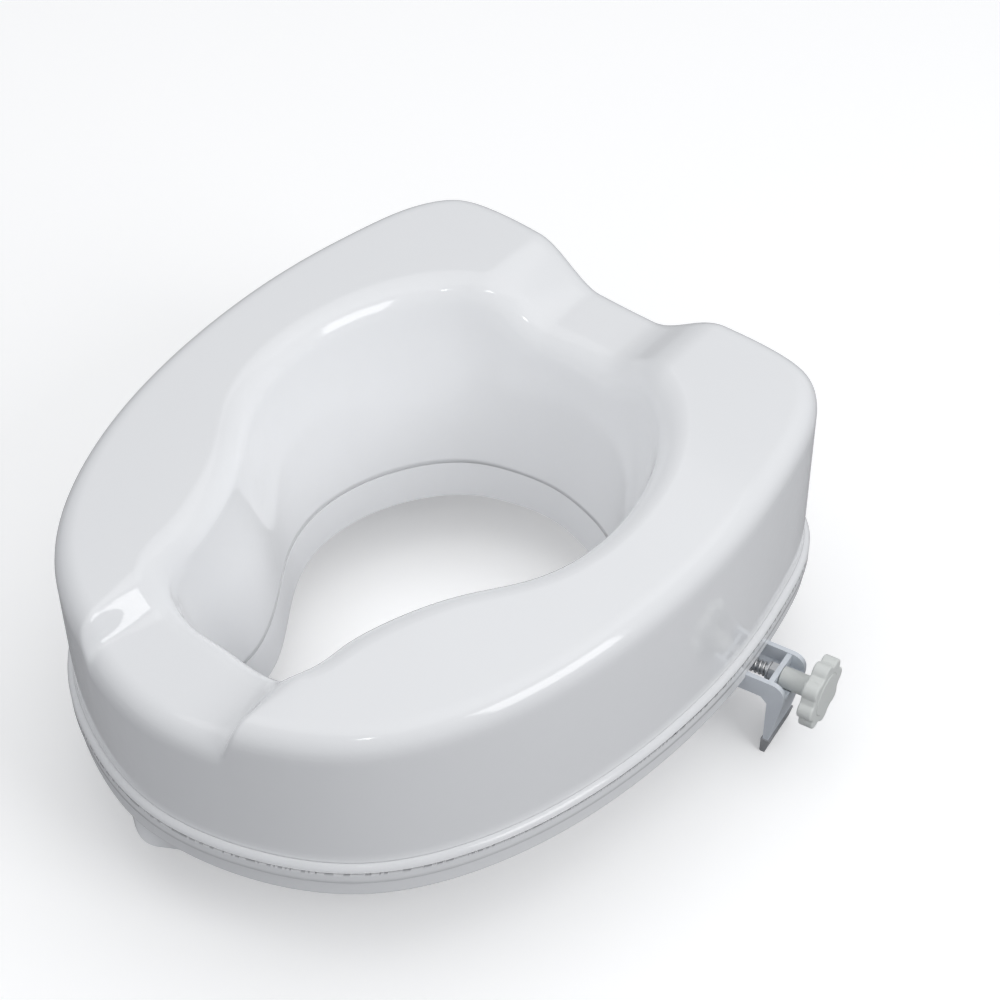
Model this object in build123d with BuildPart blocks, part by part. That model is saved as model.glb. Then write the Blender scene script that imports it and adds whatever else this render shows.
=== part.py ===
from build123d import *
import os
from math import cos, exp, hypot, pi, sin

os.makedirs("parts", exist_ok=True)

# A raised toilet seat: a hollow moulded seat shell on a hollow base shell, held on a bowl by two
# side clamps. Millimetres, +Z up, +Y towards the hinge end of the bowl, origin on the plane of
# symmetry, midway along the seat, level with the tips of the clamp legs.

# Overall sizes of the seat.
SEAT_WIDTH = 352.0
SEAT_LENGTH = 409.0
SEAT_RISE = 111.1          # seat surface above the seat shell's lower edge, midway along
SEAT_SLOPE = 0.053         # how fast the seat surface climbs towards the rear
SIDE_BAND = 64.0           # sitting surface beside the aperture, at its widest
FRONT_BAND = 59.0
REAR_BAND = 58.0
FUNNEL_SIDE = 21.5         # how far the funnel walls come in on their way down
FUNNEL_FRONT = 13.0
FUNNEL_REAR = 18.5
APERTURE_DEPTH = 6.0       # level below the seat surface where the aperture is measured

# Shell details.
WALL = 3.0
EDGE_R = 12.0              # rolled outer edge of the sitting surface
APERTURE_R = 9.0           # rolled edge of the aperture
BEAD_REACH = 4.5           # flange that runs round the foot of the skirt
BEAD_HEIGHT = 12.4
BEAD_R = 3.6               # roll along the top of the flange
BEAD_STEPS = 4             # facets that make up the roll
OVERLAP = 1.0              # how far joined and cut bodies run into each other
PAST = 30.0                # how far an open cut runs past what it cuts
HEADROOM = 40.0            # how far the walls run on above the seat surface before it trims them
IN_PLANE = 0.05            # a face this close to a plane lies in it
RECESS_HALF = 52.0         # hand access at the front
RECESS_DEPTH = 16.0
SADDLE_HALF = 60.0         # dip at the rear
SADDLE_DEPTH = 20.0

# Base shell details.
PARTING = 0.6              # groove between seat shell and base shell
BASE_EDGE = 10.5
BASE_EDGE_R = 1.2
BASE_EDGE_REACH = 3.4
BASE_DROP = 11.0           # underside of the base below its edge
BASE_INSET = 16.0          # how far the underside stands in from the skirt
NOSE_REACH = 18.0          # the underside comes this much further out at the front
NOSE_HALF = 45.0
COLLAR_DROP = 1.0          # throat of the funnel below the underside
POST_R = 5.0               # screw posts
TONGUE = 8.0               # locating rib of the base inside the skirt
TONGUE_ROOT = 2.0          # how far below the edge's top the rib starts
EDGE_LAND = 2.0            # how much further in than the skirt's wall the base's wall ends
FIT = 0.3                  # clearance between mating mouldings

# Clamps.
CLAMP_Y = 99.0             # where the clamp arm leaves the skirt
ARM_WIDTH = 30.0
ARM_HEIGHT = 12.5
ARM_INNER = -52.0          # arm ends, measured outwards from the skirt
ARM_OUTER = 27.0
ARM_WALL = 3.0
ARM_FLOOR = 2.5
ARM_ROUND = 8.0
LEG_REACH = 43.5
LEG_DEPTH = 9.7
LEG_TIP = 1.8
LEG_HAUNCH = 4.0           # bevel where the leg meets the arm
TRAVEL = 22.0              # how far a bracket can be drawn in
ARM_NOTCH = 3.0            # how far the base's edge hangs below the arm's top, notched for it
AXIS_DROP = 6.5            # screw axis below the top of the arm
SCREW_R = 3.0
SCREW_INNER = -52.0
RUN_FIT = 0.06             # screw in the captive nut and in the lug
LUG_INNER = 15.8
LUG_THICKNESS = 3.0
LUG_DROP = 0.8             # top of the lug below the top of the arm
HEX_FLATS = 10.0
LOCK_NUT = 3.8
NUT_GAP = 0.3              # lock nut to lug
WASHER_GAP = 0.2           # washer to lock nut
SCREW_BEVEL = 0.8
WASHER = 1.0
WASHER_R = 5.6
BOSS_INNER = -45.5         # block of the base that holds the captive nut
BOSS_LENGTH = 10.0
BOSS_WALL = 1.3            # beside the nut
BOSS_FIT = 0.5             # between the block and the slot in the arm's floor
NUT_THICKNESS = 5.0
NUT_FIT = 0.1              # nut in its pocket, each side
WIRE_R = 0.6
SPRING_FIT = 0.2           # spring round the screw
SPRING_GAP = 0.1           # each end of the spring
SPRING_PITCH = 3.0
KNOB_R = 21.0
KNOB_LOBES = 8
LOBE_R = 5.4
KNOB_THICKNESS = 9.0
KNOB_STEM_R = 6.2
KNOB_STEM = 18.0
KNOB_GAP = 0.5             # stem to lug
STEM_FIT = 0.35            # stem in the bracket's web
LOBE_DEPTH = 3.0           # hollows between the lobes
LOBE_ROUND = 1.5
RIM_ROUND = 1.2
HEAD_THICKNESS = 4.0
HEAD_SINK = 3.0            # screw head in from the back of the knob's head
CAP_R = 13.0
CAP_THICKNESS = 1.6
CAP_FIT = 0.1
CAP_PROUD = 0.4
CAP_ROUND = 0.9
GRIP_HEIGHT = 10.0
GRIP_WALL = 1.0
GRIP_BEVEL = 0.6
GRIP_ROUND = 0.8
GUIDE_PLATE = 1.8
PLATE_ROUND = 3.0
PLATE_OUTER = -20.0        # outer end of the guide plate, measured outwards from the skirt
GUIDE_FLANGE = 6.5         # solid beside the arm's tunnel, where its plate is screwed on
TUNNEL_END = 2.0           # spare room beyond the arm when it is fully in

# Small fixings and feet.
PAD_SIZE = (48.0, 14.0)
PAD_THICKNESS = 2.0
PAD_ROUND = 0.7
FIX_R = 2.0
FIX_HEAD_R = 3.6
FIX_HEAD = 2.4
FIX_SINK = 1.0             # heads in from the underside
FIX_BITE = 14.0            # thread length in the seat shell
FIX_SPARE = 2.0            # blind holes beyond their screws
THREAD_FIT = 0.05
DRIVE = (4.2, 0.8)         # arms of the cross recess
DRIVE_DEPTH = 1.4
GUIDE_FIX_R = 1.5
GUIDE_HEAD = 1.3
GUIDE_HEAD_ROUND = 0.8
GUIDE_BITE = 8.0           # from the plate's underside
GUIDE_END = 8.0            # guide screws in from the ends of their plate

# Levels that follow from the sizes above.
arm_bottom = LEG_REACH
arm_top = arm_bottom + ARM_HEIGHT
edge_bottom = arm_top - ARM_NOTCH
edge_top = edge_bottom + BASE_EDGE
shell_bottom = edge_top + PARTING
seat_top = shell_bottom + SEAT_RISE
under = edge_bottom - BASE_DROP
throat = under - COLLAR_DROP
funnel_foot = throat - OVERLAP
axis_z = arm_top - AXIS_DROP
aperture_z = seat_top - APERTURE_DEPTH
above = seat_top + HEADROOM

half_width = SEAT_WIDTH / 2 - BEAD_REACH
half_length = SEAT_LENGTH / 2 - BEAD_REACH

# Right half of the skirt's outline from front centre to rear centre, in half widths and lengths.
SKIRT = [(0, -1), (0.338, -0.94), (0.63, -0.79), (0.84, -0.53), (0.965, -0.18), (1, 0.11),
         (0.983, 0.435), (0.93, 0.675), (0.845, 0.88), (0.752, 0.965), (0.618, 0.995),
         (0.292, 0.99), (0, 0.982)]
# The same for the keyhole aperture and for the throat at the foot of its funnel, where the
# second number runs from 0 at the front end to 1 at the rear end.
APERTURE = [(0, 0), (0.342, 0.002), (0.45, 0.025), (0.495, 0.092), (0.559, 0.198), (0.721, 0.332),
            (0.91, 0.442), (1, 0.569), (0.982, 0.693), (0.874, 0.823), (0.631, 0.94),
            (0.324, 0.989), (0, 1)]
THROAT = [(0, 0), (0.279, 0.024), (0.419, 0.087), (0.442, 0.175), (0.523, 0.258), (0.709, 0.358),
          (0.895, 0.461), (1, 0.58), (0.977, 0.708), (0.814, 0.843), (0.535, 0.946),
          (0.256, 0.986), (0, 1)]


def closed(half):
    """Both halves of a symmetrical outline, from its right half."""
    return half + [(-x, y) for x, y in half[-2:0:-1]]


def grown(points, reach):
    """The outline moved outwards along its normals."""
    moved = []
    for i, (x, y) in enumerate(points):
        (x0, y0), (x1, y1) = points[i - 1], points[(i + 1) % len(points)]
        run = hypot(x1 - x0, y1 - y0)
        moved.append((x + reach * (y1 - y0) / run, y - reach * (x1 - x0) / run))
    return moved


def skirt(reach=0.0):
    return grown(closed([(x * half_width, y * half_length) for x, y in SKIRT]), reach)


def nose(x, y):
    """1 at the front of the base, fading to 0 along its sides."""
    return exp(-(x / NOSE_HALF) ** 4) if y < 0 else 0.0


def underside(extra=0.0):
    outline = []
    for (x, y), (x1, y1) in zip(skirt(), skirt(-1.0)):
        inset = BASE_INSET + extra - NOSE_REACH * nose(x, y)
        outline.append((x + inset * (x1 - x), y + inset * (y1 - y)))
    return outline


def funnel(z, reach=0.0):
    """The aperture's wall at a level: keyhole at the top, rounder at the throat."""
    wide = half_width + BEAD_REACH - SIDE_BAND
    front, rear = FRONT_BAND - half_length, half_length - REAR_BAND
    top = [(x * wide, front + y * (rear - front)) for x, y in APERTURE]
    wide -= FUNNEL_SIDE
    front += FUNNEL_FRONT
    rear -= FUNNEL_REAR
    low = [(x * wide, front + y * (rear - front)) for x, y in THROAT]
    k = (z - throat) / (aperture_z - throat)
    half = [(a + k * (c - a), b + k * (d - b)) for (a, b), (c, d) in zip(low, top)]
    return grown(closed(half), reach)


def face_at(z, points):
    """A flat face inside a smooth closed outline at a level."""
    with BuildSketch(Plane.XY.offset(z)) as flat:
        with BuildLine():
            Spline(*points, periodic=True)
        make_face()
    return flat.sketch


def top_plane(drop=0.0):
    return Plane(origin=(0, 0, seat_top - drop), x_dir=(1, 0, 0), z_dir=(0, -SEAT_SLOPE, 1))


def roll_over(body, plane, radius):
    """Rounds the smallest loop of edges that lies in the sloping top plane."""
    flat = body.faces().filter_by(lambda f: abs(plane.to_local_coords(f.center()).Z) < IN_PLANE)
    loops = flat.wires().sort_by(lambda w: w.bounding_box().size.X)
    fillet(loops[0].edges(), radius)


def trough(y_start, length, profile):
    """A trough cut along the sloping seat surface: its profile has x across and y up."""
    start = Plane(origin=(0, y_start, seat_top + SEAT_SLOPE * y_start), x_dir=(1, 0, 0),
                  z_dir=(0, -1, -SEAT_SLOPE))
    with BuildSketch(start) as section:
        with BuildLine():
            Spline(*profile)
            Polyline(profile[-1], (profile[-1][0], PAST), (profile[0][0], PAST), profile[0])
        make_face()
    extrude(section.sketch, amount=length, mode=Mode.SUBTRACT)


def recess_profile(reach=0.0):
    h, d = RECESS_HALF + reach, RECESS_DEPTH + reach
    right = [(h * 0.45, -d), (h * 0.8, 0.6 - d), (h - 5, 3.5 - d), (h - 2, -d / 2), (h + 1, -2), (h + 4, 2)]
    return [(-x, y) for x, y in right[::-1]] + [(0, -d)] + right


def saddle_profile(reach=0.0):
    h, d = SADDLE_HALF + reach, SADDLE_DEPTH + reach
    right = [(h * 0.3, 0.4 - d), (h * 0.6, 0.28 - d * 0.78), (h * 0.8, -d * 0.35), (h, -1.2), (h + 6, 2)]
    return [(-x, y) for x, y in right[::-1]] + [(0, -d)] + right


def cut_troughs(reach=0.0):
    trough(-half_length + FRONT_BAND + PAST, FRONT_BAND + 2 * PAST, recess_profile(reach))
    trough(half_length + PAST, REAR_BAND + 2 * PAST, saddle_profile(reach))


# The clamp's place: its arm leaves the skirt at CLAMP_Y and stands square to the outline there.
with BuildLine() as skirt_line:
    Spline(*skirt()[:len(SKIRT)])
path = skirt_line.edges()[0]
low, high = 0.2, 0.9       # shares of the outline either side of the clamp
for _ in range(40):
    mid = (low + high) / 2
    low, high = (mid, high) if (path @ mid).Y < CLAMP_Y else (low, mid)
foot = path @ low
along = path % low
out = Vector(along.Y, -along.X, 0)
clamp = Plane(origin=(foot.X, foot.Y, 0), x_dir=out, z_dir=(0, 0, 1))
clamp_side = Plane(origin=(foot.X, foot.Y, 0), x_dir=out, z_dir=out.cross(Vector(0, 0, 1)))


def across(t):
    """Plane square to the screw axis, t outwards from the skirt, with z up on its own y."""
    return Plane(origin=foot + out * t + Vector(0, 0, axis_z), x_dir=out.cross(Vector(0, 0, -1)),
                 z_dir=out)


def pair(part, name):
    """Writes a clamp piece and its mirror image on the other side."""
    for side, solid in (("right", part), ("left", mirror(part, about=Plane.YZ))):
        solid.label = f"{name}_{side}"
        export_step(solid, f"parts/{name}_{side}.step")


# Places of the screws that pull the base up to the seat shell, in half widths and lengths.
POSTS = [(0.42, -0.79), (0.72, -0.36), (0.79, 0.08), (0.55, 0.83)]
post_spots = [(sx * x * half_width, y * half_length) for x, y in POSTS for sx in (1, -1)]

# Space inside the seat shell.
with BuildPart() as hollow:
    extrude(face_at(shell_bottom - OVERLAP, skirt(-WALL)), amount=above - shell_bottom)
    split(bisect_by=top_plane(WALL), keep=Keep.BOTTOM)
    roll_over(hollow, top_plane(WALL), EDGE_R - WALL)
    loft([face_at(funnel_foot, funnel(funnel_foot, WALL)), face_at(above, funnel(above, WALL))],
         mode=Mode.SUBTRACT)
    roll_over(hollow, top_plane(WALL), APERTURE_R - WALL)
    cut_troughs(WALL)
    with BuildSketch(Plane.XY.offset(shell_bottom - OVERLAP)):
        with Locations(*post_spots):
            Circle(POST_R)
    extrude(amount=above, mode=Mode.SUBTRACT)

# Flange round the foot of the skirt, its top rolled over in narrow facets.
roll_angles = [step * pi / 2 / BEAD_STEPS for step in range(BEAD_STEPS + 1)]
roll_foot = shell_bottom + BEAD_HEIGHT - BEAD_R
with BuildPart() as bead:
    extrude(face_at(shell_bottom, skirt(BEAD_REACH)), amount=BEAD_HEIGHT - BEAD_R)
    loft([face_at(roll_foot + BEAD_R * sin(a), skirt(BEAD_REACH - BEAD_R * (1 - cos(a))))
          for a in roll_angles], ruled=True)
    extrude(face_at(shell_bottom, skirt(-OVERLAP)), amount=BEAD_HEIGHT, mode=Mode.SUBTRACT)

# Seat shell: one gloss moulding with the sitting surface, skirt, foot flange and funnel.
with BuildPart() as seat_shell:
    extrude(face_at(shell_bottom, skirt()), amount=above - shell_bottom)
    split(bisect_by=top_plane(), keep=Keep.BOTTOM)
    roll_over(seat_shell, top_plane(), EDGE_R)
    loft([face_at(funnel_foot, funnel(funnel_foot)), face_at(above, funnel(above))],
         mode=Mode.SUBTRACT)
    roll_over(seat_shell, top_plane(), APERTURE_R)
    cut_troughs()
    add(bead.part)
    add(hollow.part, mode=Mode.SUBTRACT)
    with BuildSketch(Plane.XY.offset(shell_bottom)):
        with Locations(*post_spots):
            Circle(FIX_R)
    extrude(amount=FIX_BITE + FIX_SPARE, mode=Mode.SUBTRACT)
seat_shell.part.label = "seat_shell"
export_step(seat_shell.part, "parts/seat_shell.step")

# Base shell: a tray under the seat shell, with a collar round the throat, a locating rib inside
# the skirt, screw posts, and on each side a tunnel for the clamp arm.
tunnel_half = ARM_WIDTH / 2 + FIT
plate_half = tunnel_half + GUIDE_FLANGE
tunnel_inner = ARM_INNER - TRAVEL - TUNNEL_END
boss_half = HEX_FLATS / 2 + BOSS_WALL
nut_mid = BOSS_INNER + BOSS_LENGTH / 2

plate_inner = tunnel_inner - WALL
plate_under = arm_bottom - FIT - GUIDE_PLATE
guide_rows = (plate_inner + GUIDE_END, PLATE_OUTER - GUIDE_END)
guide_side = tunnel_half + GUIDE_FLANGE / 2
guide_spots = [(t, side * guide_side) for t in guide_rows for side in (1, -1)]
base_body = [face_at(under, underside()), face_at(edge_bottom + OVERLAP, skirt(-OVERLAP))]
with BuildPart() as body:
    loft(base_body)
    extrude(face_at(edge_bottom, skirt(-OVERLAP)), amount=BASE_EDGE)

with BuildPart() as tunnel:
    with BuildSketch(clamp.offset(under)):
        with Locations((plate_inner / 2, 0)):
            Rectangle(-plate_inner, 2 * plate_half)
    extrude(amount=edge_top - under)
    add(body.part, mode=Mode.INTERSECT)

with BuildPart() as arm_slot:
    with BuildSketch(clamp.offset(funnel_foot)):
        with Locations(((tunnel_inner + PAST) / 2, 0)):
            Rectangle(PAST - tunnel_inner, 2 * tunnel_half)
    extrude(amount=arm_top + FIT - funnel_foot)
    with BuildSketch(clamp.offset(throat)):
        with Locations((nut_mid, 0)):
            Rectangle(BOSS_LENGTH, 2 * boss_half)
    extrude(amount=above, mode=Mode.SUBTRACT)
    with BuildSketch(clamp.offset(funnel_foot)):
        with Locations((nut_mid, 0)):
            Rectangle(BOSS_LENGTH, 2 * boss_half)
    extrude(amount=arm_bottom + FIT - funnel_foot)
    with BuildSketch(clamp.offset(funnel_foot)):
        with Locations(((plate_inner + PLATE_OUTER) / 2, 0)):
            Rectangle(PLATE_OUTER - plate_inner, 2 * plate_half + 2 * FIT)
    extrude(amount=arm_bottom - FIT - funnel_foot)
    with BuildSketch(clamp.offset(under)):
        with Locations(*guide_spots):
            Circle(GUIDE_FIX_R)
    extrude(amount=plate_under + GUIDE_BITE + FIX_SPARE - under)

with BuildPart() as nut_pocket:
    with BuildSketch(across(nut_mid - NUT_THICKNESS / 2 - NUT_FIT)):
        RegularPolygon(HEX_FLATS / 2 + NUT_FIT, 6, major_radius=False, rotation=30)
        with Locations((0, -PAST / 2)):
            Rectangle(HEX_FLATS + 2 * NUT_FIT, PAST)
    extrude(amount=NUT_THICKNESS + 2 * NUT_FIT)
    with BuildSketch(across(BOSS_INNER - OVERLAP)):
        Circle(SCREW_R + FIT)
    extrude(amount=BOSS_LENGTH + 2 * OVERLAP)

rib_foot = edge_top - TONGUE_ROOT
rib_top = edge_top + TONGUE + OVERLAP
with BuildPart() as base_shell:
    extrude(face_at(edge_bottom, skirt(BASE_EDGE_REACH)), amount=BASE_EDGE)
    fillet(base_shell.edges().filter_by(Plane.XY), BASE_EDGE_R)
    loft(base_body)
    loft([face_at(under + WALL, underside(WALL)), face_at(edge_top + OVERLAP, skirt(-WALL - EDGE_LAND))],
         mode=Mode.SUBTRACT)
    extrude(face_at(rib_foot, skirt(-WALL - FIT)), amount=TONGUE + TONGUE_ROOT)
    extrude(face_at(rib_foot - OVERLAP, skirt(-2 * WALL - FIT)),
            amount=TONGUE + TONGUE_ROOT + 2 * OVERLAP, mode=Mode.SUBTRACT)
    loft([face_at(throat, funnel(throat, WALL)), face_at(edge_top, funnel(edge_top, WALL))])
    with BuildSketch(Plane.XY.offset(under)):
        with Locations(*post_spots):
            Circle(POST_R)
    extrude(amount=edge_top - under)
    add(tunnel.part)
    add(mirror(tunnel.part, about=Plane.YZ))
    add(arm_slot.part, mode=Mode.SUBTRACT)
    add(mirror(arm_slot.part, about=Plane.YZ), mode=Mode.SUBTRACT)
    add(nut_pocket.part, mode=Mode.SUBTRACT)
    add(mirror(nut_pocket.part, about=Plane.YZ), mode=Mode.SUBTRACT)
    loft([face_at(funnel_foot, funnel(funnel_foot)), face_at(rib_top, funnel(rib_top))],
         mode=Mode.SUBTRACT)
    with BuildSketch(Plane.XY.offset(under)):
        with Locations(*post_spots):
            Circle(FIX_R)
    extrude(amount=edge_top, mode=Mode.SUBTRACT)
    with BuildSketch(Plane.XY.offset(under)):
        with Locations(*post_spots):
            Circle(FIX_HEAD_R + FIT)
    extrude(amount=FIX_HEAD + FIX_SINK, mode=Mode.SUBTRACT)
base_shell.part.label = "base_shell"
export_step(base_shell.part, "parts/base_shell.step")

# Screws that pull the two shells together, and non-slip pads between base and bowl.
with BuildPart() as shell_screws:
    with BuildSketch(Plane.XY.offset(under + FIX_SINK)):
        with Locations(*post_spots):
            Circle(FIX_HEAD_R)
    extrude(amount=FIX_HEAD)
    with BuildSketch(Plane.XY.offset(under + FIX_SINK)):
        with Locations(*post_spots):
            Circle(FIX_R - THREAD_FIT)
    extrude(amount=shell_bottom + FIX_BITE - under - FIX_SINK)
    with BuildSketch(Plane.XY.offset(under + FIX_SINK)):
        with Locations(*post_spots):
            Rectangle(*DRIVE)
            Rectangle(*DRIVE[::-1])
    extrude(amount=DRIVE_DEPTH, mode=Mode.SUBTRACT)
shell_screws.part.label = "shell_screws"
export_step(shell_screws.part, "parts/shell_screws.step")

PADS = {"pad_front_right": (0.53, -0.56, 62), "pad_front_left": (-0.53, -0.56, 118),
        "pad_rear_right": (0.3, 0.84, 170), "pad_rear_left": (-0.3, 0.84, 10)}
for name, (x, y, turn) in PADS.items():
    with BuildPart() as pad:
        with BuildSketch(Plane.XY.offset(under)):
            with Locations(Location((x * half_width, y * half_length), turn)):
                SlotOverall(*PAD_SIZE)
        extrude(amount=-PAD_THICKNESS)
        fillet(pad.edges().group_by(Axis.Z)[0], PAD_ROUND)
    pad.part.label = name
    export_step(pad.part, f"parts/{name}.step")

# Plate screwed under each tunnel, which keeps the clamp arm in.
with BuildPart() as guide_plate:
    with BuildSketch(clamp.offset(arm_bottom - FIT)):
        with Locations(((plate_inner + PLATE_OUTER) / 2, 0)):
            Rectangle(PLATE_OUTER - plate_inner, 2 * plate_half)
    extrude(amount=-GUIDE_PLATE)
    fillet(guide_plate.edges().filter_by(Axis.Z), PLATE_ROUND)
    with BuildSketch(clamp.offset(arm_bottom - FIT)):
        with Locations(*guide_spots):
            Circle(GUIDE_FIX_R)
    extrude(amount=-GUIDE_PLATE, mode=Mode.SUBTRACT)
pair(guide_plate.part, "guide_plate")

# Small pan-head screws that hold the plates up.
with BuildPart() as guide_screws:
    with BuildSketch(clamp.offset(plate_under)):
        with Locations(*guide_spots):
            Circle(2 * GUIDE_FIX_R)
    extrude(amount=-GUIDE_HEAD)
    fillet(guide_screws.edges().group_by(Axis.Z)[0], GUIDE_HEAD_ROUND)
    with BuildSketch(clamp.offset(plate_under)):
        with Locations(*guide_spots):
            Circle(GUIDE_FIX_R - THREAD_FIT)
    extrude(amount=GUIDE_BITE)
pair(guide_screws.part, "guide_screws")

# Captive nut in the base's block, which the clamp screw runs in.
with BuildPart() as clamp_nut:
    with BuildSketch(across(nut_mid - NUT_THICKNESS / 2)):
        RegularPolygon(HEX_FLATS / 2, 6, major_radius=False, rotation=30)
        Circle(SCREW_R + RUN_FIT, mode=Mode.SUBTRACT)
    extrude(amount=NUT_THICKNESS)
pair(clamp_nut.part, "clamp_nut")

# Clamp bracket: a channel-shaped arm with a slot in its floor, a cross lug for the screw, and a
# wedge-shaped leg that hangs outside the bowl.
leg_inner = ARM_OUTER - LEG_DEPTH
with BuildPart() as clamp_bracket:
    with BuildSketch(clamp_side):
        with BuildLine():
            Polyline((ARM_OUTER - ARM_ROUND, arm_top), (ARM_INNER, arm_top), (ARM_INNER, arm_bottom),
                     (leg_inner - LEG_HAUNCH, arm_bottom), (leg_inner, arm_bottom - LEG_HAUNCH),
                     (leg_inner, GRIP_WALL),
                     (leg_inner + LEG_TIP, GRIP_WALL), (ARM_OUTER, arm_bottom),
                     (ARM_OUTER, arm_top - ARM_ROUND))
            RadiusArc((ARM_OUTER, arm_top - ARM_ROUND), (ARM_OUTER - ARM_ROUND, arm_top), -ARM_ROUND)
        make_face()
    extrude(amount=ARM_WIDTH / 2, both=True)
    with BuildSketch(clamp.offset(arm_bottom + ARM_FLOOR)):
        with Locations(((ARM_INNER + ARM_OUTER) / 2, 0)):
            Rectangle(ARM_OUTER - ARM_INNER + 2 * OVERLAP, ARM_WIDTH - 2 * ARM_WALL)
    extrude(amount=ARM_HEIGHT, mode=Mode.SUBTRACT)
    with BuildSketch(clamp.offset(arm_bottom)):
        with Locations((LUG_INNER + LUG_THICKNESS / 2, 0)):
            Rectangle(LUG_THICKNESS, ARM_WIDTH - 2 * OVERLAP)
    extrude(amount=ARM_HEIGHT - LUG_DROP)
    with BuildSketch(clamp.offset(arm_bottom)):
        with Locations(((ARM_INNER - PAST + LUG_INNER) / 2, 0)):
            Rectangle(LUG_INNER - ARM_INNER + PAST, 2 * (boss_half + BOSS_FIT))
    extrude(amount=ARM_FLOOR, mode=Mode.SUBTRACT)
    with BuildSketch(across(LUG_INNER - OVERLAP)):
        Circle(SCREW_R + RUN_FIT)
    extrude(amount=LUG_THICKNESS + 2 * OVERLAP, mode=Mode.SUBTRACT)
    with BuildSketch(across(LUG_INNER + LUG_THICKNESS)):
        Circle(KNOB_STEM_R + STEM_FIT)
    extrude(amount=PAST, mode=Mode.SUBTRACT)
pair(clamp_bracket.part, "clamp_bracket")

# Rubber shoe over the tip of the leg.
slope = (LEG_DEPTH - LEG_TIP) / (arm_bottom - GRIP_WALL)
with BuildPart() as leg_grip:
    with BuildSketch(clamp_side):
        with BuildLine():
            Polyline((leg_inner - GRIP_WALL, GRIP_HEIGHT), (leg_inner - GRIP_WALL, GRIP_BEVEL),
                     (leg_inner - GRIP_WALL + GRIP_BEVEL, 0), (leg_inner + LEG_TIP + GRIP_BEVEL, 0),
                     (leg_inner + LEG_TIP + GRIP_WALL + slope * GRIP_HEIGHT, GRIP_HEIGHT), close=True)
        make_face()
    extrude(amount=ARM_WIDTH / 2 + GRIP_WALL, both=True)
    fillet(leg_grip.edges().filter_by(Axis.Z), GRIP_ROUND)
    add(clamp_bracket.part, mode=Mode.SUBTRACT)
pair(leg_grip.part, "leg_grip")

# Screw, lock nut, washer and spring, in line along the screw axis.
stem_inner = LUG_INNER + LUG_THICKNESS + KNOB_GAP
cap_inner = stem_inner + KNOB_STEM + KNOB_THICKNESS - CAP_THICKNESS
head_inner = stem_inner + KNOB_STEM + HEAD_SINK
nut_outer = LUG_INNER - NUT_GAP
washer_inner = nut_outer - LOCK_NUT - WASHER_GAP - WASHER
spring_inner = BOSS_INNER + BOSS_LENGTH

with BuildPart() as clamp_screw:
    with BuildSketch(across(SCREW_INNER)):
        Circle(SCREW_R)
    extrude(amount=head_inner - SCREW_INNER)
    chamfer(clamp_screw.faces().sort_by(Axis.X)[0].edges(), SCREW_BEVEL)
    with BuildSketch(across(head_inner)):
        RegularPolygon(HEX_FLATS / 2, 6, major_radius=False)
    extrude(amount=HEAD_THICKNESS)
pair(clamp_screw.part, "clamp_screw")

with BuildPart() as lock_nut:
    with BuildSketch(across(nut_outer - LOCK_NUT)):
        RegularPolygon(HEX_FLATS / 2, 6, major_radius=False)
        Circle(SCREW_R, mode=Mode.SUBTRACT)
    extrude(amount=LOCK_NUT)
pair(lock_nut.part, "lock_nut")

with BuildPart() as spring_washer:
    with BuildSketch(across(washer_inner)):
        Circle(WASHER_R)
        Circle(SCREW_R + FIT, mode=Mode.SUBTRACT)
    extrude(amount=WASHER)
pair(spring_washer.part, "spring_washer")

coil_r = SCREW_R + SPRING_FIT + WIRE_R
coil_inner = spring_inner + WIRE_R + SPRING_GAP
coil_outer = washer_inner - WIRE_R - SPRING_GAP
coil_start = foot + out * coil_inner + Vector(0, 0, axis_z)
with BuildPart() as clamp_spring:
    with BuildLine() as coil:
        Helix(SPRING_PITCH, coil_outer - coil_inner, coil_r, center=coil_start, direction=out)
    with BuildSketch(Plane(origin=coil.line @ 0, z_dir=coil.line % 0)):
        Circle(WIRE_R)
    sweep(path=coil.line, is_frenet=True)
pair(clamp_spring.part, "clamp_spring")

# Knob: a lobed head on a round stem, moulded over the screw's head, with a push-in cap.
with BuildPart() as clamp_knob:
    with BuildSketch(across(stem_inner + KNOB_STEM)):
        Circle(KNOB_R - LOBE_DEPTH)
        with PolarLocations(KNOB_R - LOBE_R, KNOB_LOBES):
            Circle(LOBE_R)
    extrude(amount=KNOB_THICKNESS)
    fillet(clamp_knob.edges().filter_by(GeomType.LINE), LOBE_ROUND)
    rims = clamp_knob.faces().filter_by(lambda f: abs(f.normal_at().dot(out)) > 0.99)
    fillet(rims.edges(), RIM_ROUND)
    with BuildSketch(across(stem_inner)):
        Circle(KNOB_STEM_R)
    extrude(amount=KNOB_STEM + OVERLAP)
    with BuildSketch(across(stem_inner)):
        Circle(SCREW_R)
    extrude(amount=KNOB_STEM + KNOB_THICKNESS, mode=Mode.SUBTRACT)
    with BuildSketch(across(head_inner)):
        RegularPolygon(HEX_FLATS / 2, 6, major_radius=False)
    extrude(amount=PAST, mode=Mode.SUBTRACT)
    with BuildSketch(across(cap_inner)):
        Circle(CAP_R + CAP_FIT)
    extrude(amount=PAST, mode=Mode.SUBTRACT)
pair(clamp_knob.part, "clamp_knob")

with BuildPart() as knob_cap:
    with BuildSketch(across(cap_inner)):
        Circle(CAP_R)
    extrude(amount=CAP_THICKNESS + CAP_PROUD)
    cap_face = knob_cap.faces().sort_by(Axis.X)[-1]
    fillet(cap_face.edges(), CAP_ROUND)
pair(knob_cap.part, "knob_cap")
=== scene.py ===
import math

import bpy
import numpy as np
from mathutils import Matrix, Vector


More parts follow.
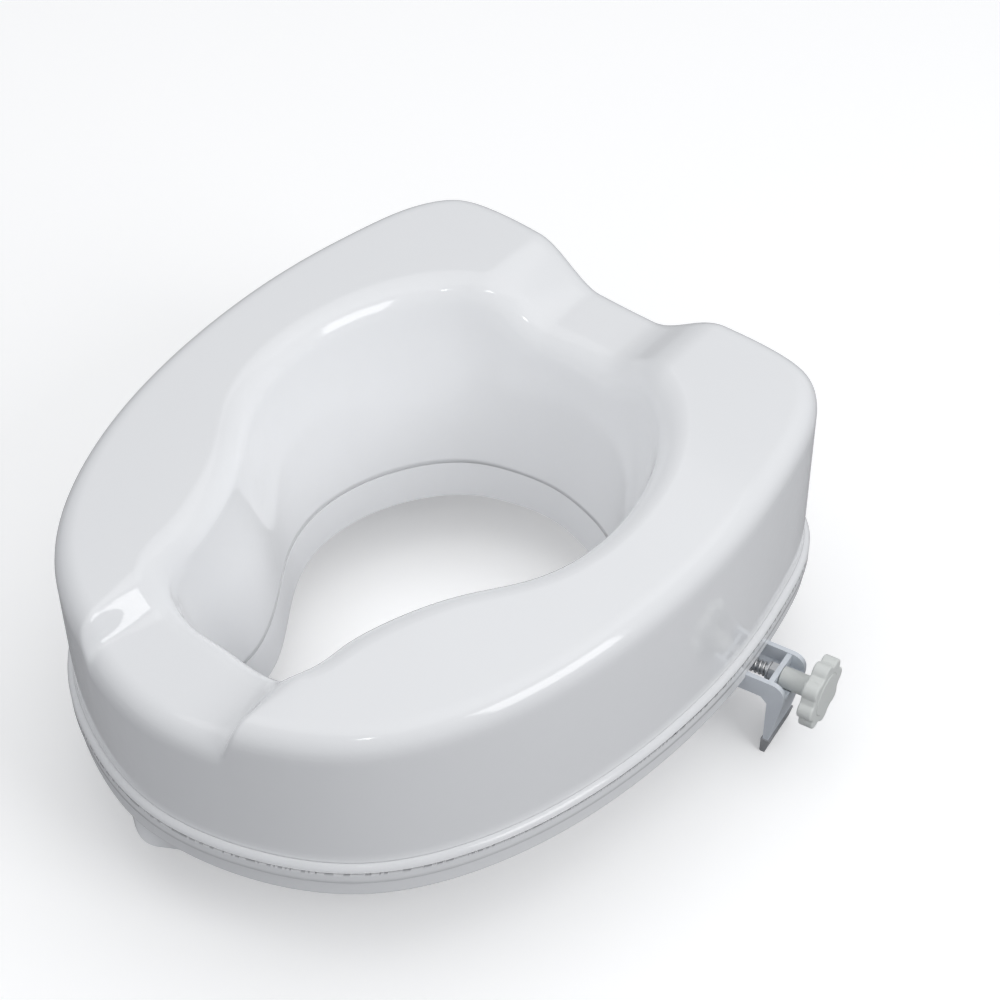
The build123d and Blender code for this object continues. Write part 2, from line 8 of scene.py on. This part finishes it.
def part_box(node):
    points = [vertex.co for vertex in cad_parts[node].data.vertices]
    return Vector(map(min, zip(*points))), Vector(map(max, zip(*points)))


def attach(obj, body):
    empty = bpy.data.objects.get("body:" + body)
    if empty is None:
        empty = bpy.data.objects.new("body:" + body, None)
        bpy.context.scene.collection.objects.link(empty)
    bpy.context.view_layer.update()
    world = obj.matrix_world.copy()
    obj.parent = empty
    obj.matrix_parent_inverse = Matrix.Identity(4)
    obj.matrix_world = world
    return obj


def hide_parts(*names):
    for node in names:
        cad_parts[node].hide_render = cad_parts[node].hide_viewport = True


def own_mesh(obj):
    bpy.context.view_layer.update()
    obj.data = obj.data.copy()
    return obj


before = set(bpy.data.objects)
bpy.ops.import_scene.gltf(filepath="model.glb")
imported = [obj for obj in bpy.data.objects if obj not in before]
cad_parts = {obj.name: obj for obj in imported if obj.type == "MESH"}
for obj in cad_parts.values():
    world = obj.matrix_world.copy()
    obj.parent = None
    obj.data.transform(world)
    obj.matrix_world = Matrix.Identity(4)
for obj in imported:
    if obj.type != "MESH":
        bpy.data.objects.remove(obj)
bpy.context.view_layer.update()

# ---------------------------------------------------------------------------------------------
# Seat shell. A hollow seat moulded in one piece from gloss white polypropylene: sitting surface,
# tall skirt, flange round its foot and the funnel that leads down into the bowl. Its edges are
# all rolled, with a hand recess cut across the front and a dip across the rear.
# ---------------------------------------------------------------------------------------------
mm = 0.001
flange_reach, flange_height, flange_roll = 4.5 * mm, 12.4 * mm, 4.2 * mm
rise, slope = 111.1 * mm, 0.053
outer_roll, aperture_roll, wall = 13.0 * mm, 14.0 * mm, 3.0 * mm
side_band, front_band, rear_band = 64.0 * mm, 59.0 * mm, 58.0 * mm
funnel_side, funnel_front, funnel_rear = 21.5 * mm, 13.0 * mm, 18.5 * mm
recess_depth, recess_floor, recess_brow = 16.0 * mm, 45.0 * mm, 56.0 * mm
dip_depth, dip_floor, dip_brow = 20.0 * mm, 20.0 * mm, 68.0 * mm
draft = 0.5 * mm
collar_lap = 0.45 * mm             # the funnel reaches down to the collar of the base
flange_lap = 0.35 * mm             # and the flange leaves only a fine line above its edge

shell_low, shell_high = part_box("seat_shell")
foot = shell_low.z
seat_top = foot + rise
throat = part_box("base_shell")[0].z
aperture_level = seat_top - 6.0 * mm
half_width = shell_high.x - flange_reach
half_length = (shell_high.y - shell_low.y) / 2 - flange_reach

# Right halves of the outlines, front to rear: the skirt in half widths and half lengths, the
# aperture and the throat of its funnel in their own half width and length.
SKIRT = [(0, -1), (0.338, -0.94), (0.63, -0.79), (0.84, -0.53), (0.965, -0.18), (1, 0.11),
         (0.983, 0.435), (0.93, 0.675), (0.845, 0.88), (0.752, 0.965), (0.618, 0.995),
         (0.292, 0.99), (0, 0.982)]
APERTURE = [(0, 0), (0.342, 0.002), (0.45, 0.025), (0.495, 0.092), (0.559, 0.198), (0.721, 0.332),
            (0.91, 0.442), (1, 0.569), (0.982, 0.693), (0.874, 0.823), (0.631, 0.94),
            (0.324, 0.989), (0, 1)]
THROAT = [(0, 0), (0.279, 0.024), (0.419, 0.087), (0.442, 0.175), (0.523, 0.258), (0.709, 0.358),
          (0.895, 0.461), (1, 0.58), (0.977, 0.708), (0.814, 0.843), (0.535, 0.946),
          (0.256, 0.986), (0, 1)]
around = 1080                      # spokes round the seat
hub = np.array([0.0, 10.0 * mm])   # the spokes spread from here, inside every outline


def smooth_loop(half, count=4000):
    """A closed cubic spline through a symmetrical outline, given its right half."""
    q = np.array(half + [(-x, y) for x, y in half[-2:0:-1]], float)
    ahead = np.roll(q, -1, 0) - q
    h = np.hypot(*ahead.T)
    n = len(q)
    m = np.zeros((n, n))
    for i in range(n):
        m[i, i - 1], m[i, i], m[i, (i + 1) % n] = h[i - 1], 2 * (h[i - 1] + h[i]), h[i]
    pull = 6 * (ahead / h[:, None] - np.roll(ahead / h[:, None], 1, 0))
    bend = np.linalg.solve(m, pull)
    t = np.linspace(0, h.sum(), count, endpoint=False)
    i = np.searchsorted(np.cumsum(h), t, side="right")
    a = (t - (np.cumsum(h) - h)[i])[:, None]
    b = h[i][:, None] - a
    j = (i + 1) % n
    hi = h[i][:, None]
    return ((bend[i] * b**3 + bend[j] * a**3) / (6 * hi)
            + (q[i] / hi - bend[i] * hi / 6) * b + (q[j] / hi - bend[j] * hi / 6) * a)


def offset(loop, reach):
    """The outline moved outwards along its normals."""
    run = np.roll(loop, -1, 0) - np.roll(loop, 1, 0)
    run /= np.hypot(*run.T)[:, None]
    return loop + reach * np.stack([run[:, 1], -run[:, 0]], 1)


def on_spokes(loop, turns):
    """Points of the outline at these angles round the hub, from the front towards the right."""
    x, y = (loop - hub).T
    angle = np.unwrap(np.arctan2(x, -y))
    angle = np.concatenate([angle - 2 * math.pi, angle, angle + 2 * math.pi])
    return np.stack([np.interp(turns, angle, np.tile(loop[:, k], 3)) for k in (0, 1)], 1)


spokes = np.linspace(-math.pi, math.pi, around, endpoint=False)


def fan(turns, centre, width, lift):
    """Opens the spokes out near the front or rear, where the aperture is nearer to the hub."""
    off = (turns - centre + math.pi) % (2 * math.pi) - math.pi
    u = np.abs(off) / width
    return np.sign(off) * lift * u * np.exp(1 - u)


inner_spokes = (spokes + fan(spokes, 0, math.radians(14), math.radians(6.6))
                + fan(spokes, math.pi, math.radians(18), math.radians(7.7)))
skirt_line = smooth_loop([(x * half_width, y * half_length) for x, y in SKIRT])
wide = half_width + flange_reach - side_band
front, rear = front_band - half_length, half_length - rear_band
aperture_line = smooth_loop([(x * wide, front + y * (rear - front)) for x, y in APERTURE])
wide, front, rear = wide - funnel_side, front + funnel_front, rear - funnel_rear
throat_line = smooth_loop([(x * wide, front + y * (rear - front)) for x, y in THROAT])


def skirt(reach):
    return on_spokes(offset(skirt_line, reach), spokes)


def funnel(level, reach=0.0):
    """The funnel's wall at a level, or at one level for each spoke."""
    k = ((np.broadcast_to(level, around) - throat) / (aperture_level - throat))[:, None]
    low = on_spokes(offset(throat_line, reach), inner_spokes)
    top = on_spokes(offset(aperture_line, reach), inner_spokes)
    return low + k * (top - low)


def ease(x):
    x = np.clip(x, 0, 1)
    return x * x * x * (x * (6 * x - 15) + 10)


def seat_height(xy):
    """Height of the sitting surface, with the recess and the dip sunk into it."""
    x, y = np.abs(xy[:, 0]), xy[:, 1]
    deeper = ease((y + 190 * mm) / (50 * mm))      # the side walls open out towards the aperture
    brow, floor_edge = recess_brow + 5 * mm * deeper, recess_floor - 12 * mm * deeper
    recess = recess_depth * ease((brow - x) / (brow - floor_edge))
    recess *= ease((-105 * mm - y) / (14 * mm))
    u = np.clip((dip_brow - x) / (dip_brow - dip_floor), 0, 1)
    dip = dip_depth * (3 * u * u - 2 * u**3) * ease((y - 60 * mm) / (30 * mm))
    return seat_top + slope * y - recess - dip


def row(xy, z):
    return np.column_stack([xy, np.broadcast_to(z, len(xy))])


def over_the_top(sunk):
    """Rows of points up the skirt, over the seat and down the funnel, sunk below the surface."""
    rows = []
    big, small = outer_roll - sunk, aperture_roll - sunk
    crest = seat_height(skirt(-outer_roll * 0.3)) - sunk
    start = foot if sunk else foot + flange_height + 2.0 * mm
    for t in np.linspace(0, 1, 20):
        level = start + t * (crest - big - start)
        lean = draft * (1 - 2 * np.mean(level - foot) / rise)
        rows.append(row(skirt(lean - sunk), level))
    for a in np.radians(np.linspace(0, 90, 14)[1:]):
        xy = skirt(-draft - sunk - big * (1 - math.cos(a)))
        rows.append(row(xy, seat_height(xy) - sunk - big * (1 - math.sin(a))))
    outer_edge = rows[-1][:, :2]
    rim = seat_height(funnel(aperture_level, sunk + small)) - sunk
    inner_edge = funnel(rim, sunk + small)
    for t in np.linspace(0, 1, 44)[1:]:
        xy = outer_edge + t * (inner_edge - outer_edge)
        rows.append(row(xy, seat_height(xy) - sunk))
    for a in np.radians(np.linspace(0, 90, 14)[1:]):
        drop = small * (1 - math.cos(a))
        xy = funnel(rim - drop, sunk + small * (1 - math.sin(a)))
        rows.append(row(xy, seat_height(xy) - sunk - drop))
    top_of_wall = rows[-1][:, 2]
    for t in np.linspace(0, 1, 30)[1:]:
        level = top_of_wall + t * (foot - collar_lap - top_of_wall)
        rows.append(row(funnel(level, sunk), level))
    return rows


def ring_piece(name, rows):
    """A closed piece from rows of points, each of which runs once round the seat."""
    points = np.concatenate(rows)
    n = len(rows[0])
    k, i = np.meshgrid(np.arange(len(rows)), np.arange(n), indexing="ij")
    k, i, k1, i1 = k.ravel(), i.ravel(), ((k + 1) % len(rows)).ravel(), ((i + 1) % n).ravel()
    faces = np.column_stack([k * n + i, k * n + i1, k1 * n + i1, k1 * n + i])
    return mesh_piece(name, points, faces)


def mesh_piece(name, points, faces):
    mesh = bpy.data.meshes.new(name)
    mesh.from_pydata([tuple(p) for p in points], [], [tuple(int(v) for v in f) for f in faces])
    mesh.polygons.foreach_set("use_smooth", [True] * len(mesh.polygons))
    mesh.update()
    piece = bpy.data.objects.new(name, mesh)
    bpy.context.scene.collection.objects.link(piece)
    return piece


def flange_rows():
    """Up the outside of the flange, over its rolled top and in to the skirt."""
    rows = [row(skirt(flange_reach - 0.6 * mm), foot - flange_lap)]
    rows += [row(skirt(flange_reach), foot + z * mm) for z in (0.3, 3, 6, 8.5)]
    for a in np.radians(np.linspace(0, 90, 8)):
        reach = flange_reach - flange_roll * (1 - math.cos(a))
        rows.append(row(skirt(reach), foot + flange_height - flange_roll * (1 - math.sin(a))))
    for a in np.radians((25, 50, 75)):
        reach = draft + 1.1 * mm * (1 - math.sin(a))
        rows.append(row(skirt(reach), foot + flange_height + 2 * mm * (1 - math.cos(a))))
    return rows


outside = flange_rows() + over_the_top(0.0)
seat = ring_piece("seat_moulding", outside + over_the_top(wall)[::-1])


# Gloss polypropylene: faint flow clouds in the colour, a light orange peel and fine cloth scuffs.
def node_maker(tree):
    def make(kind, **inputs):
        made = tree.nodes.new(kind)
        for key, value in inputs.items():
            made.inputs[key].default_value = value
        return made
    return make


def group_with(name, inputs, outputs):
    group = bpy.data.node_groups.new(name, "ShaderNodeTree")
    for label, kind, value in inputs:
        socket = group.interface.new_socket(label, in_out="INPUT", socket_type=kind)
        socket.default_value = value
    for label, kind in outputs:
        group.interface.new_socket(label, in_out="OUTPUT", socket_type=kind)
    return group


plastic_skin = group_with(
    "plastic_skin",
    [("Colour", "NodeSocketColor", (0.8, 0.8, 0.8, 1)), ("Cloud", "NodeSocketFloat", 0.02),
     ("Peel Scale", "NodeSocketFloat", 180.0), ("Shine", "NodeSocketFloat", 0.12),
     ("Scuff", "NodeSocketFloat", 0.1)],
    [("Colour", "NodeSocketColor"), ("Roughness", "NodeSocketFloat"),
     ("Height", "NodeSocketFloat")])


def build_plastic_skin(tree):
    make = node_maker(tree)
    link = tree.links.new
    given, result = tree.nodes.new("NodeGroupInput"), tree.nodes.new("NodeGroupOutput")
    place = make("ShaderNodeTexCoord")
    cloud = make("ShaderNodeTexNoise", Scale=14.0, Detail=3.0, Roughness=0.5)
    peel = make("ShaderNodeTexNoise", Detail=2.0, Roughness=0.45)
    streak_space = make("ShaderNodeMapping")
    streak_space.inputs["Scale"].default_value = (900.0, 60.0, 240.0)
    streak_space.inputs["Rotation"].default_value = (0.3, 0.5, 0.7)
    streak = make("ShaderNodeTexNoise", Scale=1.0, Detail=4.0, Roughness=0.6)
    patch = make("ShaderNodeTexNoise", Scale=22.0, Detail=2.0)
    for target in (cloud, peel, patch, streak_space):
        link(place.outputs["Object"], target.inputs["Vector"])
    link(streak_space.outputs["Vector"], streak.inputs["Vector"])
    link(given.outputs["Peel Scale"], peel.inputs["Scale"])
    darken = make("ShaderNodeMath")
    darken.operation = "MULTIPLY"
    link(cloud.outputs["Fac"], darken.inputs[0])
    link(given.outputs["Cloud"], darken.inputs[1])
    tint = make("ShaderNodeHueSaturation")
    value = make("ShaderNodeMath")
    value.operation = "SUBTRACT"
    value.inputs[0].default_value = 1.0
    link(darken.outputs[0], value.inputs[1])
    link(value.outputs[0], tint.inputs["Value"])
    link(given.outputs["Colour"], tint.inputs["Color"])
    link(tint.outputs["Color"], result.inputs["Colour"])
    worn = make("ShaderNodeMapRange")
    for key, number in (("From Min", 0.56), ("From Max", 0.74), ("To Min", 0.0), ("To Max", 1.0)):
        worn.inputs[key].default_value = number
    link(streak.outputs["Fac"], worn.inputs["Value"])
    where = make("ShaderNodeMath")
    where.operation = "MULTIPLY"
    link(worn.outputs["Result"], where.inputs[0])
    link(patch.outputs["Fac"], where.inputs[1])
    scuffed = make("ShaderNodeMath")
    scuffed.operation = "MULTIPLY_ADD"
    link(where.outputs[0], scuffed.inputs[0])
    link(given.outputs["Scuff"], scuffed.inputs[1])
    link(given.outputs["Shine"], scuffed.inputs[2])
    uneven = make("ShaderNodeMath")
    uneven.operation = "MULTIPLY_ADD"
    uneven.inputs[1].default_value = 0.06
    link(cloud.outputs["Fac"], uneven.inputs[0])
    link(scuffed.outputs[0], uneven.inputs[2])
    link(uneven.outputs[0], result.inputs["Roughness"])
    link(peel.outputs["Fac"], result.inputs["Height"])


build_plastic_skin(plastic_skin)


def moulded_plastic(name, colour, shine, scuff, peel_scale, peel_depth, gloss_coat):
    """A moulded plastic with the skin's clouds, peel and scuffs under a clear surface sheen."""
    material = bpy.data.materials.new(name)
    material.use_nodes = True
    tree = material.node_tree
    shader = tree.nodes["Principled BSDF"]
    skin = tree.nodes.new("ShaderNodeGroup")
    skin.node_tree = plastic_skin
    skin.inputs["Colour"].default_value = (*colour, 1)
    skin.inputs["Shine"].default_value = shine
    skin.inputs["Scuff"].default_value = scuff
    skin.inputs["Peel Scale"].default_value = peel_scale
    bump = tree.nodes.new("ShaderNodeBump")
    bump.inputs["Strength"].default_value = 0.4
    bump.inputs["Distance"].default_value = peel_depth
    tree.links.new(skin.outputs["Colour"], shader.inputs["Base Color"])
    tree.links.new(skin.outputs["Roughness"], shader.inputs["Roughness"])
    tree.links.new(skin.outputs["Height"], bump.inputs["Height"])
    tree.links.new(bump.outputs["Normal"], shader.inputs["Normal"])
    shader.inputs["IOR"].default_value = 1.49
    shader.inputs["Coat Weight"].default_value = gloss_coat
    shader.inputs["Coat Roughness"].default_value = 0.05
    return material


def dress(piece, material):
    """Puts a material on every slot of a piece."""
    if not piece.material_slots:
        piece.data.materials.append(material)
    for place in piece.material_slots:
        place.material = material


gloss_white = moulded_plastic("gloss_white", (0.85, 0.858, 0.872), 0.07, 0.10, 160.0, 0.00012, 0.3)
dress(seat, gloss_white)
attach(seat, "root")
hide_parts("seat_shell")

# ---------------------------------------------------------------------------------------------
# Base shell. The tray under the seat shell, moulded in the same white plastic with a little less
# gloss. It is screwed up into the seat shell and leaves a fine shadow line round the foot.
# ---------------------------------------------------------------------------------------------
base_white = moulded_plastic("base_white", (0.845, 0.853, 0.867), 0.14, 0.15, 160.0, 0.0002, 0.2)
dress(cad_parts["base_shell"], base_white)

# ---------------------------------------------------------------------------------------------
# Clamp brackets and their guide plates. Glass-filled white nylon with a finely eroded mould
# finish, its colour darkened and tinted blue as painted shade. The arms slide in the base, and the
# plates under them are screwed on.
# ---------------------------------------------------------------------------------------------
# The darker, bluer colour is painted shade laid over the white nylon of the brackets and plates.
bracket_white = moulded_plastic("bracket_white", (0.74, 0.78, 0.83), 0.32, 0.2, 900.0, 0.0001, 0.05)
for side in ("right", "left"):
    dress(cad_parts["clamp_bracket_" + side], bracket_white)
    dress(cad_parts["guide_plate_" + side], bracket_white)

# ---------------------------------------------------------------------------------------------
# Knobs and their caps. A lobed hand knob moulded over the head of the clamp screw, in satin
# white plastic, with a thin cap pushed into its face.
# ---------------------------------------------------------------------------------------------
knob_white = moulded_plastic("knob_white", (0.70, 0.72, 0.70), 0.34, 0.2, 600.0, 0.0001, 0.1)
for side in ("right", "left"):
    dress(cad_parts["clamp_knob_" + side], knob_white)
    dress(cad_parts["knob_cap_" + side], knob_white)

# ---------------------------------------------------------------------------------------------
# Rubber shoes and pads. Soft grey rubber, moulded matt with a fine grain and a dusty bloom: the
# shoes are pushed over the tips of the clamp legs, the pads are stuck under the base.
# ---------------------------------------------------------------------------------------------
def rubber(name, colour):
    material = bpy.data.materials.new(name)
    material.use_nodes = True
    tree = material.node_tree
    shader = tree.nodes["Principled BSDF"]
    place = tree.nodes.new("ShaderNodeTexCoord")
    grain = tree.nodes.new("ShaderNodeTexNoise")
    grain.inputs["Scale"].default_value = 1400.0
    bloom = tree.nodes.new("ShaderNodeTexNoise")
    bloom.inputs["Scale"].default_value = 60.0
    bloom.inputs["Detail"].default_value = 5.0
    shade = tree.nodes.new("ShaderNodeValToRGB")
    shade.color_ramp.elements[0].color = (*colour, 1)
    shade.color_ramp.elements[1].color = (*[c * 1.5 + 0.02 for c in colour], 1)
    shade.color_ramp.elements[0].position, shade.color_ramp.elements[1].position = 0.35, 0.75
    bump = tree.nodes.new("ShaderNodeBump")
    bump.inputs["Strength"].default_value = 0.42
    bump.inputs["Distance"].default_value = 0.0002
    for target in (grain, bloom):
        tree.links.new(place.outputs["Object"], target.inputs["Vector"])
    tree.links.new(bloom.outputs["Fac"], shade.inputs["Fac"])
    tree.links.new(shade.outputs["Color"], shader.inputs["Base Color"])
    tree.links.new(grain.outputs["Fac"], bump.inputs["Height"])
    tree.links.new(bump.outputs["Normal"], shader.inputs["Normal"])
    shader.inputs["Roughness"].default_value = 0.75
    return material


grip_rubber = rubber("grip_rubber", (0.27, 0.275, 0.285))
pad_rubber = rubber("pad_rubber", (0.22, 0.22, 0.22))
for side in ("right", "left"):
    dress(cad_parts["leg_grip_" + side], grip_rubber)
    dress(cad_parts["pad_front_" + side], pad_rubber)
    dress(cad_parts["pad_rear_" + side], pad_rubber)

# ---------------------------------------------------------------------------------------------
# Clamp screws, springs and small steel fixings. Zinc-plated steel, with the spring wound from
# drawn wire. The screw turns with its knob. The spring is wound as one fixed coil from the clamp nut to
# the spring washer.
# ---------------------------------------------------------------------------------------------
def plated_steel(name, colour, roughness):
    material = bpy.data.materials.new(name)
    material.use_nodes = True
    tree = material.node_tree
    shader = tree.nodes["Principled BSDF"]
    place = tree.nodes.new("ShaderNodeTexCoord")
    blotch = tree.nodes.new("ShaderNodeTexNoise")
    blotch.inputs["Scale"].default_value = 380.0
    blotch.inputs["Detail"].default_value = 4.0
    shade = tree.nodes.new("ShaderNodeValToRGB")
    shade.color_ramp.elements[0].color = (*[c * 0.8 for c in colour], 1)
    shade.color_ramp.elements[1].color = (*colour, 1)
    rough = tree.nodes.new("ShaderNodeMapRange")
    rough.inputs["To Min"].default_value = roughness
    rough.inputs["To Max"].default_value = roughness + 0.2
    tree.links.new(place.outputs["Object"], blotch.inputs["Vector"])
    tree.links.new(blotch.outputs["Fac"], shade.inputs["Fac"])
    tree.links.new(blotch.outputs["Fac"], rough.inputs["Value"])
    tree.links.new(shade.outputs["Color"], shader.inputs["Base Color"])
    tree.links.new(rough.outputs["Result"], shader.inputs["Roughness"])
    shader.inputs["Metallic"].default_value = 1.0
    return material


zinc = plated_steel("zinc", (0.72, 0.73, 0.74), 0.25)
spring_steel = plated_steel("spring_steel", (0.78, 0.78, 0.78), 0.22)
for side in ("right", "left"):
    for kind in ("guide_screws_", "clamp_nut_", "lock_nut_", "spring_washer_", "clamp_screw_"):
        dress(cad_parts[kind + side], zinc)
dress(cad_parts["shell_screws"], zinc)

wire, coil_radius, coils = 0.6 * mm, 3.8 * mm, 15


def centre(node):
    low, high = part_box(node)
    return (low + high) / 2


def coil_spring(name, start, end):
    """Wire wound round the line from start to end, with its last coils closed up and flat."""
    axis = (end - start).normalized()
    side_way = axis.orthogonal().normalized()
    other = axis.cross(side_way)
    length = (end - start).length
    steps, sides = coils * 28, 10
    line = []
    for i in range(steps + 1):
        t = i / steps
        turn = 2 * math.pi * coils * t
        lead = wire + (length - 2 * wire) * float(ease(0.5 + (t - 0.5) * 0.94) * 0.25 + t * 0.75)
        line.append(start + axis * lead
                    + (side_way * math.cos(turn) + other * math.sin(turn)) * coil_radius)
    points, faces = [], []
    for i, p in enumerate(line):
        ahead = (line[min(i + 1, steps)] - line[max(i - 1, 0)]).normalized()
        inward = ((start + axis * (p - start).dot(axis)) - p).normalized()
        up = ahead.cross(inward)
        for k in range(sides):
            a = 2 * math.pi * k / sides
            points.append(p + (inward * math.cos(a) + up * math.sin(a)) * wire)
    for i in range(steps):
        for k in range(sides):
            a, b = i * sides + k, i * sides + (k + 1) % sides
            faces.append((a, b, b + sides, a + sides))
    faces.append(tuple(range(sides))[::-1])
    faces.append(tuple(range(steps * sides, (steps + 1) * sides)))
    return mesh_piece(name, points, faces)


for side in ("right", "left"):
    nut, washer = centre("clamp_nut_" + side), centre("spring_washer_" + side)
    way = (washer - nut).normalized()
    start, end = nut + way * 5.0 * mm, washer - way * 0.5 * mm
    spring = coil_spring("spring_" + side, start, end)
    dress(spring, spring_steel)
    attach(spring, "root")
    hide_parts("clamp_spring_" + side)
    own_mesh(spring)

# ---------------------------------------------------------------------------------------------
# Studio. A pale floor that throws little light back on the skirt, an even sky, a soft box above
# and one on the right, a small one for the catch lights, and a faint lamp down in the well.
# ---------------------------------------------------------------------------------------------
floor_mesh = bpy.data.meshes.new("floor")
reach = 6.0
floor_mesh.from_pydata([(-reach, -reach, 0), (reach, -reach, 0), (reach, reach, 0), (-reach, reach, 0)],
                       [], [(0, 1, 2, 3)])
floor = bpy.data.objects.new("floor", floor_mesh)
bpy.context.scene.collection.objects.link(floor)
floor_paint = bpy.data.materials.new("floor_paint")
floor_paint.use_nodes = True
floor_shader = floor_paint.node_tree.nodes["Principled BSDF"]
floor_shader.inputs["Roughness"].default_value = 0.9
floor_shader.inputs["Emission Color"].default_value = (1, 1, 1, 1)
seen = floor_paint.node_tree.nodes.new("ShaderNodeLightPath")
bounce = floor_paint.node_tree.nodes.new("ShaderNodeMix")
bounce.data_type = "RGBA"
bounce.inputs["A"].default_value = (0.4, 0.4, 0.41, 1)
bounce.inputs["B"].default_value = (0.96, 0.96, 0.96, 1)
lift = floor_paint.node_tree.nodes.new("ShaderNodeMath")
lift.operation = "MULTIPLY"
lift.inputs[1].default_value = 0.2
floor_paint.node_tree.links.new(seen.outputs["Is Camera Ray"], bounce.inputs["Factor"])
floor_paint.node_tree.links.new(seen.outputs["Is Camera Ray"], lift.inputs[0])
floor_paint.node_tree.links.new(bounce.outputs["Result"], floor_shader.inputs["Base Color"])
floor_paint.node_tree.links.new(lift.outputs[0], floor_shader.inputs["Emission Strength"])
dress(floor, floor_paint)


def soft_light(name, place, aim, size, power, colour=(1, 1, 1)):
    light = bpy.data.lights.new(name, "AREA")
    light.shape, light.size, light.size_y = "RECTANGLE", *size
    light.energy, light.color = power, colour
    lamp = bpy.data.objects.new(name, light)
    lamp.location = place
    lamp.rotation_euler = (Vector(place) - Vector(aim)).to_track_quat("Z", "Y").to_euler()
    bpy.context.scene.collection.objects.link(lamp)
    return lamp


middle = (0, 0.05, 0.1)
soft_light("overhead", (0.0, 0.25, 1.8), middle, (1.9, 1.9), 6.5)
soft_light("catch_box", (0.75, -0.95, 1.75), middle, (0.15, 0.11), 0.6)
soft_light("right_box", (1.6, 0.1, 1.2), middle, (0.9, 0.9), 9.0)
well = bpy.data.lights.new("well_light", "POINT")
well.energy, well.shadow_soft_size = 0.11, 0.05
well_lamp = bpy.data.objects.new("well_light", well)
well_lamp.location = (0, 0.01, 0.125)
well_lamp.visible_camera = well_lamp.visible_glossy = False
bpy.context.scene.collection.objects.link(well_lamp)
world = bpy.data.worlds.new("studio")
world.use_nodes = True
sky_way = world.node_tree.nodes.new("ShaderNodeTexCoord")
sky_parts = world.node_tree.nodes.new("ShaderNodeSeparateXYZ")
sky_glow = world.node_tree.nodes.new("ShaderNodeValToRGB")
sky_glow.color_ramp.elements[0].position, sky_glow.color_ramp.elements[1].position = 0.05, 0.75
sky_glow.color_ramp.elements[0].color = (0.80, 0.82, 0.85, 1)
sky_glow.color_ramp.elements[1].color = (0.97, 0.98, 1.0, 1)
world.node_tree.links.new(sky_way.outputs["Generated"], sky_parts.inputs["Vector"])
world.node_tree.links.new(sky_parts.outputs["Z"], sky_glow.inputs["Fac"])
world.node_tree.links.new(sky_glow.outputs["Color"], world.node_tree.nodes["Background"].inputs["Color"])
world.node_tree.nodes["Background"].inputs["Strength"].default_value = 0.62
bpy.context.scene.world = world
bpy.context.scene.view_settings.view_transform = "Standard"

# The camera looks down over the front right of the seat.
azimuth, elevation, roll = math.radians(40.848), math.radians(44.854), math.radians(-0.744)
aim = Vector((0, 73.0 * mm, 57.0 * mm))
distance = 1.3204
back = Vector((math.sin(azimuth) * math.cos(elevation), -math.cos(azimuth) * math.cos(elevation),
               math.sin(elevation)))
sideways = Vector((math.cos(azimuth), math.sin(azimuth), 0))
upright = back.cross(sideways)
right_way = sideways * math.cos(roll) + upright * math.sin(roll)
up_way = upright * math.cos(roll) - sideways * math.sin(roll)
camera_data = bpy.data.cameras.new("camera")
camera_data.sensor_width = 36.0
camera_data.lens = 80.61
camera_data.shift_x = 0.0038
camera_data.shift_y = 0.0451
camera = bpy.data.objects.new("camera", camera_data)
camera.matrix_world = Matrix.Translation(aim + back * distance) @ Matrix(
    (right_way, up_way, back)).transposed().to_4x4()
bpy.context.scene.collection.objects.link(camera)
bpy.context.scene.camera = camera
